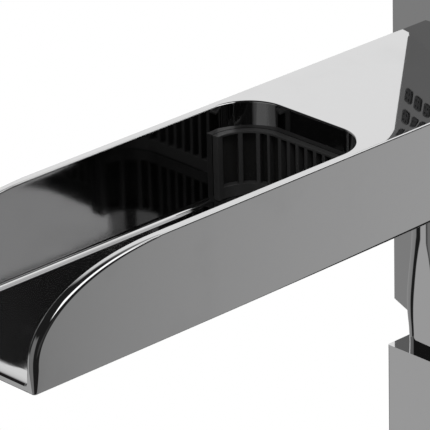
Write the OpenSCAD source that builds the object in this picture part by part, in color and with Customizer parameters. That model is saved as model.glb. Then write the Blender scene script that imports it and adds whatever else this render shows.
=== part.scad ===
// Floor-mounted bath filler: an open-topped spout on a square column, with a mixer bar and a spray wand.
// Frame: origin on the floor under the column axis, Z up, spout toward -Y, hot side toward -X.
// All sizes are in millimetres and degrees.

/* [Spout] */
// width of the spout across its outer side faces
spout_w = 74; // [60:1:90]
// height of the spout's rectangular section
spout_h = 41; // [34:1:50]
// distance from the column axis to the outlet edge
spout_reach = 244.5; // [200:0.5:280]
// distance from the column axis to the rear face
spout_back = 30; // [26:1:36]
// height of the spout's underside above the floor
spout_under = 858; // [780:1:920]
// thickness of the spout's side walls
spout_wall = 3.6; // [2.8:0.1:4.5]
// thickness of the trough floor
spout_floor = 3.5; // [2.8:0.1:4.5]
// thickness of the roof over the closed rear part
spout_roof = 3; // [2:0.1:4]
// rounding of the long outer edges
spout_edge_r = 0.7; // [0.4:0.1:1.5]
// distance from the column axis to the back face of the open trough
trough_back = 71; // [64:1:80]
// corner radius at the back of the trough, seen from above
trough_corner_r = 17; // [10:1:20]
// fillet between trough floor and side walls
trough_fillet_r = 2; // [1:0.1:3]
// thickness of the wall between trough and water chamber
trough_rear_wall = 3; // [2:0.1:4]
// width of the water window behind the comb
window_w = 44; // [30:1:50]
// height of the water window
window_h = 16; // [10:1:20]
// height of the window's lower edge above the trough floor
window_low = 5; // [4:0.5:8]
// length of the curved cut at the front of each side wall
cheek_run = 62; // [50:0.5:70]
// height of the curved cut above its vertical front
cheek_rise = 32; // [26:1:34]
// exponent of the curved cut, 2 is an ellipse
cheek_power = 2.15; // [2:0.05:2.6]
// rounding of the wall's cut edge at the outlet
cheek_round_low = 2.6; // [1.5:0.1:3.2]
// length over which the lip bends down at the outlet
lip_run = 7; // [4:0.5:10]
// drop of the lip at the outlet edge
lip_drop = 1.5; // [0.5:0.1:2]

/* [Comb insert] */
// thickness of the comb's rims
comb_t = 3; // [2.4:0.1:4]
// height of the comb above the trough floor
comb_h = 26.5; // [20:0.5:30]
// length of the comb from the trough's back face toward the outlet
comb_run = 19.2; // [17:0.1:24]
// distance between neighbouring ribs
rib_pitch = 4.65; // [4:0.05:6]
// width of the slot between two ribs
slot_w = 2.8; // [2:0.1:3.4]
// height of the slots' lower end above the comb's foot
slot_low = 2.6; // [2:0.1:6]
// distance of the slots' upper end below the comb's top
slot_top = 1.8; // [1:0.1:4]
// height of the solid strip between a slot's end and the hollow's end
slot_strip = 0.3; // [0.1:0.1:1]
// thickness of the slotted web between the rims
web_t = 1.7; // [1.2:0.1:2.2]
// width of the rim inside the ledge's groove
ledge_rim = 0.9; // [0.6:0.1:1.2]
// width of the groove along the comb's top ledge
ledge_groove_w = 0.8; // [0.5:0.1:1.2]
// depth of the groove along the comb's top ledge
ledge_groove_d = 0.8; // [0.3:0.1:1]
// angle between neighbouring slots round the corners
corner_slot_step = 18.6; // [16:0.1:22]
// number of slots round each corner
corner_slots = 5; // [3:1:5]
// number of slots each side of the middle rib
flat_slots = 3; // [2:1:4]

/* [Flow plate and rear cap] */
// thickness of the perforated flow plate
flow_t = 2; // [1.5:0.1:3]
// distance from the column axis to the flow plate
flow_at = 34; // [28:1:44]
// radius of the flow plate's holes
flow_hole_r = 1.6; // [1:0.1:2]
// distance between the flow plate's holes
flow_pitch = 5.6; // [5:0.1:8]
// columns of holes each side of the middle
flow_cols = 5; // [3:1:5]
// rows of holes each side of the middle
flow_rows = 2; // [1:1:2]
// thickness of the rear cap's plate
cap_t = 3; // [2:0.1:4]
// depth of the rear cap's collar inside the spout
cap_collar = 5; // [3:0.5:8]
// wall of the rear cap's collar
cap_collar_t = 2; // [1.5:0.1:3]

/* [Neck] */
// gap between the column's top face and the spout's underside
neck_h = 77.65; // [60:0.05:90]
// half depth of the neck, front to back
neck_half_d = 10; // [9:0.5:12]
// distance below the spout, half width, half width of the front flat
neck_stations = [[0, 12.1, 0], [15, 12.4, 0], [30, 12.8, 0], [36, 12.8, 1.6], [42, 13.3, 2.8],
    [49, 14.2, 3.6], [58, 15, 4.4], [65, 14.6, 4.7], [71, 13.5, 4.6], [77.65, 13, 4.6]];
// outer radius of the hollow stud inside the neck
stud_r = 7.5; // [7:0.1:8]
// bore radius of the hollow stud
stud_bore_r = 4.6; // [4:0.1:5]
// length of stud below the column's top wall
stud_below = 26; // [22:1:32]
// length of stud above the trough floor
stud_above = 12; // [11:1:16]
// outer radius of the stud's round nuts
nut_r = 11.8; // [11:0.1:12.4]
// height of the stud's nuts
nut_h = 8; // [6:0.5:10]
// width of the spanner slots in the nuts
nut_slot_w = 3; // [2:0.5:4]
// depth of the spanner slots in the nuts
nut_slot_d = 1.6; // [1:0.1:2]
// thickness of the flat seals under the nuts
seal_t = 1.5; // [1:0.1:2]
// outer radius of the flat seals
seal_r = 12; // [11:0.1:12.5]

/* [Column] */
// width of the square column
column_w = 30; // [26:1:36]
// wall of the column tube
column_wall = 2; // [1.5:0.1:2.4]
// rounding of the column's upright edges
column_edge_r = 0.8; // [0.4:0.1:2]
// thickness of the closed top of the upper column
column_roof = 5; // [4:0.5:8]
// depth of the square spigots inside the column tubes
spigot_h = 10; // [8:1:14]

/* [Base] */
// space between the floor plate's edge and the base cover's wall
plate_space = 3.5; // [2:0.5:8]
// thickness of the floor plate
plate_t = 6; // [5:0.5:8]
// corner radius of the floor plate
plate_corner_r = 6; // [3:1:10]
// distance of the floor bolt holes from the plate's edges
bolt_margin = 18; // [14:1:24]
// radius of the floor bolt holes
bolt_hole_r = 4.5; // [4:0.5:5.5]
// radius of the openings for the supply hoses
supply_hole_r = 13; // [12:0.5:14]
// width of the inlet block
inlet_w = 64; // [60:1:70]
// depth of the inlet block, front to back
inlet_d = 42; // [38:1:46]
// height of the inlet block
inlet_h = 22; // [20:1:26]
// distance of each supply bore from the middle
supply_at = 17; // [16:0.5:19]
// radius of the half-inch supply threads
supply_r = 9.3; // [9:0.1:10]
// depth of the supply threads
supply_depth = 13; // [11:0.5:14]
// radius of the drilled link between supply bore and riser
link_r = 2.2; // [1.5:0.1:2.4]
// distance of the drilled link from the middle
link_at = 10.2; // [9.8:0.1:10.4]
// depth of the riser sockets in the inlet block
riser_socket = 7; // [6:0.5:8]
// thickness of the foot flange
foot_flange_t = 4; // [3:0.5:5]
// height of the square plug inside the column tube
foot_plug_h = 26; // [20:1:30]
// distance of the base screws from the middle along X
base_screw_x = 27.2; // [26:0.1:29]
// distance of the base screws from the middle along Y
base_screw_y = 16.5; // [15:0.5:18]
// shank radius of the base screws
base_screw_r = 2.5; // [2:0.1:3]
// head radius of the base screws
base_head_r = 4.2; // [4:0.1:4.6]
// head height of the base screws
base_head_h = 3; // [2.5:0.1:4]
// depth to which the base screws enter the floor plate
base_screw_end = 5; // [4:0.5:6]
// width of the square floor cover
cover_w = 132; // [124:1:150]
// height of the floor cover
cover_h = 40; // [39:0.5:44]
// wall of the floor cover
cover_wall = 2.5; // [2:0.1:3.5]
// corner radius of the floor cover
cover_corner_r = 6; // [3:1:12]
// height above the floor of the upper column fixing screw
foot_screw_z = 53; // [50:1:54]
// distance between the two column fixing screws
foot_screw_gap = 8; // [6:0.5:8]
// radius of the column fixing screws
foot_screw_r = 2; // [1.5:0.1:2.5]
// length of the column fixing screws
foot_screw_len = 7; // [5:0.5:8]

/* [Risers and feed pipe] */
// outer radius of the risers
riser_r = 5.5; // [5:0.1:5.8]
// bore radius of the risers
riser_bore_r = 4; // [3.5:0.1:4.5]
// distance of the risers from the middle
riser_at = 7; // [6.5:0.1:7.2]
// outer radius of the feed pipe
feed_r = 6; // [5.5:0.1:6.5]
// bore radius of the feed pipe
feed_bore_r = 4.5; // [4:0.1:4.8]
// depth of the feed pipe's sockets
feed_socket = 8; // [6:0.5:10]

/* [Mixer] */
// height of the mixer bar's underside above the floor
mixer_z = 616; // [560:1:660]
// length of the mixer bar
mixer_w = 96; // [90:1:120]
// depth of the mixer bar, front to back
mixer_d = 34; // [32:1:40]
// height of the mixer bar
mixer_h = 40; // [38:1:46]
// rounding of the mixer bar's long edges
mixer_edge_r = 1.5; // [0.5:0.1:3]
// radius of the cartridge chambers
chamber_r = 11; // [10.5:0.1:11.5]
// distance from the middle to the chamber's inner end
chamber_at = 20; // [18:1:22]
// depth of the riser sockets above the mixer's underside
mixer_socket = 6; // [5:0.5:7]
// radius of the feed hole above each riser socket
mixer_feed_r = 3; // [2.5:0.1:3.2]
// height of the feed drill above the mixer's underside
mixer_feed_z = 8.5; // [8:0.1:9]
// distance of the feed drill's far end from the middle
mixer_feed_end = 27; // [25:1:29]
// length of each valve cartridge
cartridge_len = 26; // [24:1:27]
// bore radius of the cartridge around the rotor
rotor_bore_r = 7; // [6.5:0.1:7.5]
// length of the rotor bore
rotor_bore_len = 14.4; // [13:0.1:16]
// length of the rotor
rotor_len = 12.4; // [11:0.1:13]
// distance of the rotor's inner end from the chamber's inner end
rotor_at = 1.5; // [1:0.1:2]
// radius of the waterway inside the rotor
rotor_way_r = 4; // [3:0.1:4.5]
// depth of the waterway inside the rotor
rotor_way_len = 9; // [7:0.5:10]
// distance of the cartridge port from the chamber's inner end
port_at = 5; // [4:0.5:6]
// radius of the cartridge port
port_r = 2; // [1.5:0.1:2.4]
// radius of the valve spindle
spindle_r = 4; // [3.5:0.1:4.5]
// outer radius of the bonnets
bonnet_r = 14; // [13:0.5:16]
// thickness of the bonnet outside the mixer bar
bonnet_t = 5; // [4:0.5:7]

/* [Handles] */
// radius of the handle hub
hub_r = 13; // [11:0.5:15]
// length of the handle hub
hub_len = 17; // [15:0.5:20]
// distance from the hub's axis to the lever's end
lever_len = 66; // [50:1:80]
// width of the lever
lever_w = 12; // [10:0.5:16]
// thickness of the lever
lever_t = 8; // [6:0.5:10]
// corner radius at the lever's end
lever_end_r = 3; // [2:0.5:5]
// depth of the spindle socket in the hub
hub_socket = 11; // [9:0.5:13]
// shank radius of the handle screw
handle_screw_r = 2; // [1.5:0.1:2.5]
// length of the handle screw's shank
handle_screw_len = 8; // [7:0.5:10]
// head radius of the handle screw
handle_head_r = 3.6; // [3:0.1:4]
// head height of the handle screw
handle_head_h = 2.6; // [2:0.1:3]
// width across the flats of the screws' hexagon sockets
hex_w = 2.5; // [2:0.1:3]

/* [Diverter] */
// radius of the diverter bore
diverter_r = 7.5; // [7:0.1:8]
// distance of the diverter bore's inner end behind the middle
diverter_end = 9; // [8:0.5:10]
// bore radius around the diverter rotor
turn_bore_r = 5; // [4.5:0.1:5.2]
// distance in front of the middle where the rotor bore starts
turn_bore_front = 2; // [1.5:0.1:3]
// radius of the diverter's water holes
turn_way_r = 1.5; // [1.2:0.1:1.8]
// distance behind the middle of the outlet hole
turn_out_at = 4.2; // [3.5:0.1:4.5]
// radius of the diverter stem
stem_r = 3; // [2.5:0.1:3.5]
// radius of the diverter bonnet
collar_r = 11; // [10:0.5:13]
// thickness of the diverter bonnet
collar_t = 4; // [3:0.5:6]
// width of the square diverter knob
knob_w = 20; // [16:1:26]
// length of the diverter knob
knob_len = 15; // [12:0.5:20]
// corner radius of the diverter knob
knob_corner_r = 2; // [1:0.5:4]
// depth of the stem socket in the knob
knob_socket = 10; // [8:0.5:12]
// length of the pointer line cut in the knob
pointer_len = 6; // [4:0.5:9]
// width of the pointer line
pointer_w = 1.2; // [0.8:0.1:2]
// depth of the pointer line
pointer_d = 0.6; // [0.4:0.1:1]
// radius of the half-inch hose thread
hose_r = 10.4; // [10:0.1:10.5]
// length of the hose thread
hose_len = 12; // [10:0.5:14]
// bore radius of the hose outlet
hose_bore_r = 4; // [3:0.1:5]
// radius of the hose outlet's shoulder
hose_flange_r = 13; // [12:0.5:15]
// thickness of the hose outlet's shoulder
hose_flange_t = 3; // [2:0.5:4]
// radius of the hose outlet's spigot
hose_spigot_r = 6; // [5:0.1:7]

/* [Dock] */
// turn of the dock about the vertical, seen from above
dock_yaw = 21.5; // [10:0.5:30]
// distance of the dock's middle from the column axis toward hot
dock_x = 47.2; // [40:0.1:56]
// distance of the dock's middle behind the column axis
dock_y = 56.2; // [50:0.1:66]
// width of the dock sleeve
sleeve_w = 44; // [40:1:48]
// depth of the dock sleeve
sleeve_d = 32; // [30:1:36]
// height of the dock sleeve
sleeve_h = 154; // [130:1:170]
// distance of the sleeve's foot below the spout
sleeve_below = 98; // [90:0.5:110]
// wall of the dock sleeve
sleeve_wall = 2; // [1.5:0.1:3]
// rounding of the sleeve's upright edges
sleeve_edge_r = 1; // [0.5:0.1:2]
// thickness of the sleeve's floor
sleeve_floor = 6; // [4:0.5:8]
// radius of the hose opening in the sleeve's floor
sleeve_hole_r = 13; // [12.5:0.1:13.5]
// wall of the liner
liner_wall = 2; // [1.5:0.1:2.5]
// thickness of the liner's floor
liner_floor = 6; // [4:0.5:8]
// radius of the opening in the liner's floor
liner_hole_r = 11.6; // [11.2:0.1:11.8]
// distance of the liner's top below the sleeve's top
liner_below = 1.5; // [0.5:0.1:3]
// distance of the swivel axis behind the column axis
pivot_y = 46; // [44:0.5:50]
// width of the dock arm
arm_w = 14; // [12:1:18]
// height of the dock arm
arm_h = 12; // [10:1:14]
// distance of the arm's top below the column's top
arm_below = 0.35; // [0:0.05:4]
// radius of the arm's eye
eye_r = 9; // [8:0.5:10]
// width of the arm's foot on the column
arm_foot_w = 24; // [20:1:28]
// thickness of the arm's foot
arm_foot_t = 4; // [3:0.5:6]
// height of the arm's foot
arm_foot_h = 42; // [36:1:50]
// shank radius of the arm screws
arm_screw_r = 2; // [1.5:0.1:2.5]
// head radius of the arm screws
arm_head_r = 3.8; // [3.4:0.1:4.2]
// head height of the arm screws
arm_head_h = 2.6; // [2:0.1:3]
// distance of the lower arm screw above the foot's lower edge
arm_screw_low = 7; // [5:0.5:9]
// distance between the arm screws
arm_screw_gap = 14; // [12:0.5:16]
// radius of the swivel pin
pin_r = 4; // [3.5:0.1:4.5]
// head radius of the swivel pin
pin_head_r = 6.5; // [6:0.1:7.5]
// head height of the swivel pin
pin_head_h = 2.5; // [2:0.1:4]
// thickness of the sleeve's lugs
lug_t = 5.6; // [5:0.1:7]
// radius of the lugs round the swivel pin
lug_r = 8; // [7:0.5:9]
// width of the lugs between sleeve and pin
lug_w = 13.4; // [12:0.1:15]
// outer radius of the pin's retaining ring
ring_r = 6.2; // [5.5:0.1:7]
// thickness of the retaining ring
ring_t = 1; // [0.8:0.1:1.4]
// depth of the ring's groove in the pin
ring_groove = 0.8; // [0.5:0.1:1]
// length of pin below the retaining ring
pin_tail = 2; // [1:0.5:3]

/* [Spray wand] */
// width of the wand's stem and head
wand_w = 34; // [30:0.5:36]
// depth of the wand's stem
wand_stem_d = 22.4; // [21.5:0.1:23]
// depth of the wand's head without the face
wand_head_d = 20; // [17:0.5:22]
// height of the wand's head along its lean
wand_head_h = 86; // [70:1:100]
// forward lean of the head
wand_lean = 9; // [0:0.5:15]
// corner radius of the wand's head
wand_corner_r = 3.5; // [2:0.5:6]
// distance of the head's front face behind the dock's front
wand_set = 7.2; // [4:0.1:9]
// height of the head's foot above the dock's top
wand_clear = 1.4; // [1:0.1:4]
// width of the cavity inside the wand
wand_bore_w = 12; // [8:1:16]
// thickness of the spray face
face_t = 1.6; // [1.2:0.1:2.4]
// distance of the face's lower edge above the head's foot
face_low = 4.5; // [3:0.1:8]
// side of the rounded square pads
pad_w = 5.4; // [4.5:0.1:6]
// corner radius of the pads
pad_corner_r = 0.9; // [0.5:0.1:1.5]
// clearance round the pads in the face
pad_gap = 0.1; // [0.1:0.05:0.3]
// distance between pad columns
pad_pitch_x = 8.7; // [8:0.1:9.5]
// distance between pad rows
pad_pitch_z = 9.1; // [8:0.1:10]
// height of the first pad row above the face's lower edge
pad_low = 23.7; // [10:0.1:30]
// number of pad columns
pad_cols = 3; // [3:1:3]
// number of pad rows
pad_rows = 6; // [4:1:6]
// height of the pads above the face
pad_proud = 0.5; // [0.3:0.1:0.8]
// thickness of the sheet that joins the pads behind the face
pad_sheet_t = 1.4; // [1:0.1:2]
// radius of the spray holes in the pads
spray_r = 0.5; // [0.4:0.05:0.7]
// distance between spray holes in one pad
spray_pitch = 2.4; // [2:0.1:2.8]
// bore radius of the wand's inlet
inlet_bore_r = 5; // [4:0.1:6]
// radius of the wand inlet's spigot
inlet_spigot_r = 7; // [6:0.1:8]
// depth of the wand inlet's spigot
inlet_spigot_h = 10; // [8:0.5:14]

/* [Clearances] */
// radial clearance of fixed round seats
seat_gap = 0.05; // [0.02:0.01:0.1]
// radial clearance of turning shafts in their bores
run_gap = 0.05; // [0.02:0.01:0.08]
// clearance between pieces that move past each other
move_gap = 0.4; // [0.3:0.05:0.6]
// clearance of square plugs inside tubes
plug_gap = 0.08; // [0.05:0.01:0.15]
// overshoot of cutting bodies
cut = 1; // [1:0.5:2]

/* [Hidden] */
$fn = 48;
half = 0.5;
edge_steps = 5;
curve_steps = 22;
neck_rings = 30;
neck_corner_steps = 9;
lip_steps = 8;
thin_flat = 0.02;
top_over = 0.05;
far_off = 6;

quarter = 90;
plate_w = cover_w - 2*(cover_wall + plate_space);
bolt_spacing = plate_w - 2*bolt_margin;
spout_half = spout_w*half;
spout_inner = spout_half - spout_wall;
spout_top = spout_under + spout_h;
trough_z = spout_under + spout_floor;
column_top = spout_under - neck_h;
column_half = column_w*half;
column_inner = column_half - column_wall;
column_edge_in = column_edge_r*half;
mixer_top = mixer_z + mixer_h;
valve_z = mixer_z + mixer_h*half;
mixer_end = mixer_w*half;
mixer_face = mixer_d*half;
foot_z = plate_t + inlet_h;
tube_foot = foot_z + foot_flange_t;
plug_half = column_inner - plug_gap;
cheek_z = spout_h - cheek_rise;
chamber_z = spout_h - spout_floor - spout_roof;
stud_foot = column_top - stud_below;
sleeve_z = spout_under - sleeve_below;
sleeve_top = sleeve_z + sleeve_h;
liner_z = sleeve_z + sleeve_floor;
liner_top = sleeve_top - liner_below;
wand_z = liner_z + liner_floor + move_gap;
arm_top = column_top - arm_below;
arm_z = arm_top - arm_h;
foot_low = arm_top - arm_foot_h;
lug_len = dock_x*cos(dock_yaw) + (dock_y - pivot_y)*sin(dock_yaw) - (sleeve_w - sleeve_wall)*half;
lug_up_z = arm_top + move_gap;
lug_down_z = arm_z - move_gap - lug_t;
bonnet_end = mixer_end + bonnet_t;
hub_at = bonnet_end + move_gap + seat_gap;
spindle_end = hub_at + hub_socket;
hub_end = hub_at + hub_len;
collar_end = mixer_face + collar_t;
knob_at = collar_end + move_gap + seat_gap;
nut_low_z = column_top - column_roof - seal_t - nut_h;
nut_high_z = trough_z + seal_t;

// rounded upright block centred on the axis, standing on z
module rblock(w, d, h, r, z) {
    translate([-w*half + r, -d*half, z])
        cube([w - 2*r, d, h]);
    translate([-w*half, -d*half + r, z])
        cube([w, d - 2*r, h]);
    for (sx = [-1, 1])
        for (sy = [-1, 1])
            translate([sx*(w*half - r), sy*(d*half - r), z])
                cylinder(r = r, h = h);
}

// plain upright block centred on the axis, standing on z
module block(w, d, h, z) {
    translate([-w*half, -d*half, z])
        cube([w, d, h]);
}

// cylinder along X from x0 to x1
module xrod(r, x0, x1) {
    translate([x0, 0, 0])
        rotate([0, 90, 0])
            cylinder(r = r, h = x1 - x0);
}

// cylinder along Y from y0 to y1
module yrod(r, y0, y1) {
    translate([0, y0, 0])
        rotate([-90, 0, 0])
            cylinder(r = r, h = y1 - y0);
}

// upright cylinder from z0 to z1
module zrod(r, z0, z1) {
    translate([0, 0, z0])
        cylinder(r = r, h = z1 - z0);
}

// hexagon socket along Z
module hexhole(w, z0, z1) {
    translate([0, 0, z0])
        cylinder(r = w/sqrt(3), h = z1 - z0, $fn = 6);
}

// hot side at -X, cold side at +X
module hot_side() {
    mirror([1, 0, 0])
        children();
}

// plate on the floor with four bolt holes and the openings for the supply hoses
module floor_plate() {
    color("silver")
    difference() {
        rblock(plate_w, plate_w, plate_t, plate_corner_r, 0);
        for (sx = [-1, 1]) {
            for (sy = [-1, 1]) {
                translate([sx*bolt_spacing*half, sy*bolt_spacing*half, 0])
                    zrod(bolt_hole_r, -cut, plate_t + cut);
                translate([sx*base_screw_x, sy*base_screw_y, 0])
                    zrod(base_screw_r + seat_gap, plate_t - base_screw_end, plate_t + cut);
            }
            translate([sx*supply_at, 0, 0])
                zrod(supply_hole_r, -cut, plate_t + cut);
        }
    }
}

// brass block with the two supply threads below and the riser sockets above
module inlet_block() {
    color("goldenrod")
    difference() {
        block(inlet_w, inlet_d, inlet_h, plate_t);
        for (sx = [-1, 1]) {
            translate([sx*supply_at, 0, 0])
                zrod(supply_r, plate_t - cut, plate_t + supply_depth);
            translate([sx*link_at, 0, 0])
                zrod(link_r, plate_t + supply_depth - cut, foot_z - riser_socket + cut);
            translate([sx*riser_at, 0, 0])
                zrod(riser_r + seat_gap, foot_z - riser_socket, foot_z + cut);
            for (sy = [-1, 1])
                translate([sx*base_screw_x, sy*base_screw_y, 0])
                    zrod(base_screw_r + seat_gap, plate_t - cut, foot_z + cut);
        }
    }
}

// flange with the square plug that carries the column tube
module column_foot() {
    color("darkgray")
    difference() {
        union() {
            block(inlet_w, inlet_d, foot_flange_t, foot_z);
            block(plug_half*2, plug_half*2, foot_plug_h, tube_foot);
        }
        for (sx = [-1, 1]) {
            translate([sx*riser_at, 0, 0])
                zrod(riser_r + seat_gap, foot_z - cut, tube_foot + foot_plug_h + cut);
            for (sy = [-1, 1])
                translate([sx*base_screw_x, sy*base_screw_y, 0])
                    zrod(base_screw_r + seat_gap, foot_z - cut, tube_foot + cut);
        }
        for (k = [0, 1])
            translate([0, 0, foot_screw_z - k*foot_screw_gap])
                yrod(foot_screw_r + seat_gap, column_half - foot_screw_len, column_half + cut);
    }
}

// four screws through flange and inlet block into the floor plate
module base_screws() {
    color("gray")
    for (sx = [-1, 1])
        for (sy = [-1, 1])
            translate([sx*base_screw_x, sy*base_screw_y, 0])
                difference() {
                    union() {
                        zrod(base_screw_r, plate_t - base_screw_end, tube_foot);
                        zrod(base_head_r, tube_foot, tube_foot + base_head_h);
                    }
                    hexhole(hex_w, tube_foot + base_head_h - handle_head_h*half,
                        tube_foot + base_head_h + cut);
                }
}

// square cover that hides the base, open below, with a close hole for the column
module floor_cover() {
    color("dimgray")
    difference() {
        rblock(cover_w, cover_w, cover_h, cover_corner_r, 0);
        rblock(cover_w - 2*cover_wall, cover_w - 2*cover_wall, cover_h - cover_wall + cut,
            cover_corner_r - cover_wall, -cut);
        block(column_w + 2*plug_gap, column_w + 2*plug_gap, cover_h, cut);
    }
}

// square tube from the foot flange to the mixer bar
module column_lower() {
    color("dimgray")
    difference() {
        rblock(column_w, column_w, mixer_z - tube_foot, column_edge_r, tube_foot);
        rblock(column_inner*2, column_inner*2, mixer_z, column_edge_in, tube_foot - cut);
        for (k = [0, 1])
            translate([0, 0, foot_screw_z - k*foot_screw_gap])
                yrod(foot_screw_r + seat_gap, column_inner - cut, column_half + cut);
    }
}

// two set screws at the back of the column's foot
module foot_screws() {
    color("gray")
    for (k = [0, 1])
        translate([0, 0, foot_screw_z - k*foot_screw_gap])
            difference() {
                yrod(foot_screw_r, column_half - foot_screw_len, column_half);
                translate([0, column_half - foot_screw_r, 0])
                    rotate([-90, 0, 0])
                        hexhole(foot_screw_r, 0, foot_screw_r + cut);
            }
}

// one riser tube on the cold side
module riser() {
    translate([riser_at, 0, 0])
        difference() {
            zrod(riser_r, foot_z - riser_socket, mixer_z + mixer_socket);
            zrod(riser_bore_r, foot_z - riser_socket - cut, mixer_z + mixer_socket + cut);
        }
}

module hot_riser() {
    color("peru")
    hot_side()
        riser();
}

module cold_riser() {
    color("peru")
    riser();
}

// bar with both valve chambers, the diverter bore and all drilled waterways
module mixer_body() {
    color("dimgray")
    difference() {
        union() {
            translate([-mixer_end, 0, valve_z])
                rotate([0, 90, 0])
                    rblock(mixer_h, mixer_d, mixer_w, mixer_edge_r, 0);
            block(plug_half*2, plug_half*2, spigot_h*2 + mixer_h, mixer_z - spigot_h);
        }
        for (sx = [0, 1])
            mirror([sx, 0, 0]) {
                translate([riser_at, 0, 0])
                    zrod(riser_r + seat_gap, mixer_z - spigot_h - cut, mixer_z + mixer_socket);
                translate([riser_at, 0, 0])
                    zrod(mixer_feed_r, mixer_z, mixer_z + mixer_feed_z);
                translate([0, 0, mixer_z + mixer_feed_z])
                    xrod(link_r, riser_at, mixer_feed_end);
                translate([0, 0, valve_z])
                    xrod(chamber_r, chamber_at, mixer_end + cut);
                translate([0, 0, valve_z])
                    xrod(link_r, diverter_r - cut, chamber_at + cut);
            }
        translate([0, 0, valve_z])
            yrod(diverter_r, -mixer_face - cut, diverter_end);
        translate([0, 0, valve_z])
            yrod(hose_spigot_r + seat_gap, diverter_end - cut, mixer_face + cut);
        zrod(feed_bore_r, valve_z, mixer_top);
        zrod(feed_r + seat_gap, mixer_top + spigot_h - feed_socket, mixer_top + spigot_h + cut);
        zrod(feed_bore_r, mixer_top - cut, mixer_top + spigot_h);
    }
}

// valve cartridge on the cold side with a port below
module cartridge() {
    translate([0, 0, valve_z])
        difference() {
            xrod(chamber_r - seat_gap, chamber_at, chamber_at + cartridge_len);
            xrod(rotor_bore_r, chamber_at - cut, chamber_at + rotor_bore_len);
            xrod(spindle_r + run_gap, chamber_at, chamber_at + cartridge_len + cut);
            translate([chamber_at + port_at, 0, 0])
                zrod(port_r, -chamber_r - cut, 0);
        }
}

module hot_cartridge() {
    color("ivory")
    hot_side()
        cartridge();
}

module cold_cartridge() {
    color("ivory")
    cartridge();
}

// spindle with its hollow rotor, whose side hole meets the port after a quarter turn
module spindle() {
    translate([0, 0, valve_z])
        difference() {
            union() {
                xrod(rotor_bore_r - run_gap, chamber_at + rotor_at, chamber_at + rotor_at + rotor_len);
                xrod(spindle_r, chamber_at + rotor_at, spindle_end);
            }
            xrod(rotor_way_r, chamber_at, chamber_at + rotor_at + rotor_way_len);
            translate([chamber_at + port_at, 0, 0])
                yrod(port_r, -rotor_bore_r - cut, 0);
            xrod(handle_screw_r + seat_gap, spindle_end - handle_screw_len, spindle_end + cut);
        }
}

module hot_spindle() {
    color("goldenrod")
    hot_side()
        spindle();
}

module cold_spindle() {
    color("goldenrod")
    spindle();
}

// ring nut that holds the cartridge and trims the end of the bar
module bonnet() {
    translate([0, 0, valve_z])
        difference() {
            union() {
                xrod(chamber_r - seat_gap, chamber_at + cartridge_len, mixer_end);
                xrod(bonnet_r, mixer_end, bonnet_end);
            }
            xrod(spindle_r + move_gap, chamber_at, bonnet_end + cut);
        }
}

module hot_bonnet() {
    color("dimgray")
    hot_side()
        bonnet();
}

module cold_bonnet() {
    color("dimgray")
    bonnet();
}

// lever handle: round hub and a flat lever that points up when shut
module handle() {
    translate([0, 0, valve_z])
        difference() {
            union() {
                xrod(hub_r, hub_at, hub_end);
                translate([hub_at + hub_len*half - lever_t*half, -lever_w*half, 0])
                    cube([lever_t, lever_w, lever_len - lever_end_r]);
                translate([hub_at + hub_len*half - lever_t*half, -lever_w*half + lever_end_r, 0])
                    cube([lever_t, lever_w - 2*lever_end_r, lever_len]);
                for (sy = [-1, 1])
                    translate([hub_at + hub_len*half - lever_t*half,
                            sy*(lever_w*half - lever_end_r), lever_len - lever_end_r])
                        xrod(lever_end_r, 0, lever_t);
            }
            xrod(spindle_r + seat_gap, hub_at - cut, spindle_end);
            xrod(handle_screw_r + seat_gap, spindle_end - cut, hub_end + cut);
            xrod(handle_head_r + seat_gap, hub_end - handle_head_h, hub_end + cut);
        }
}

module hot_handle() {
    color("dimgray")
    hot_side()
        handle();
}

module cold_handle() {
    color("dimgray")
    handle();
}

// screw that holds the handle on its spindle
module handle_screw() {
    translate([0, 0, valve_z])
        difference() {
            union() {
                xrod(handle_screw_r, spindle_end - handle_screw_len, hub_end - handle_head_h);
                xrod(handle_head_r, hub_end - handle_head_h, hub_end);
            }
            translate([hub_end - handle_head_h*half, 0, 0])
                rotate([0, 90, 0])
                    hexhole(hex_w, 0, handle_head_h);
        }
}

module hot_handle_screw() {
    color("gray")
    hot_side()
        handle_screw();
}

module cold_handle_screw() {
    color("gray")
    handle_screw();
}

// diverter cartridge: side ports in, top port to the spout, groove at +X to the hose
module diverter_cartridge() {
    color("ivory")
    translate([0, 0, valve_z])
        difference() {
            yrod(diverter_r - seat_gap, -mixer_face + collar_t*half, diverter_end);
            yrod(turn_bore_r, -turn_bore_front, diverter_end + cut);
            yrod(stem_r + run_gap, -mixer_face, 0);
            xrod(turn_way_r, -diverter_r - cut, diverter_r + cut);
            translate([0, turn_out_at, 0])
                zrod(turn_way_r, 0, diverter_r + cut);
            translate([0, turn_out_at - turn_way_r, -turn_way_r])
                cube([turn_bore_r + turn_way_r*half, diverter_end, 2*turn_way_r]);
        }
}

// stem and rotor of the diverter
module diverter_stem() {
    color("goldenrod")
    translate([0, 0, valve_z])
        difference() {
            union() {
                yrod(turn_bore_r - run_gap, -turn_bore_front + move_gap, diverter_end - move_gap);
                yrod(stem_r, -knob_at - knob_socket, 0);
            }
            rotate([90, 0, 0])
                rotate_extrude()
                    translate([turn_bore_r - cut, -turn_way_r*half])
                        square([2*cut, turn_way_r]);
            xrod(turn_way_r, -turn_bore_r - cut, turn_bore_r + cut);
            yrod(turn_way_r, 0, turn_out_at);
            translate([0, turn_out_at, 0])
                zrod(turn_way_r, 0, turn_bore_r + cut);
        }
}

// ring nut of the diverter
module diverter_bonnet() {
    color("dimgray")
    translate([0, 0, valve_z])
        difference() {
            union() {
                yrod(diverter_r - seat_gap, -mixer_face, -mixer_face + collar_t*half);
                yrod(collar_r, -collar_end, -mixer_face);
            }
            yrod(stem_r + move_gap, -collar_end - cut, 0);
        }
}

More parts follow.
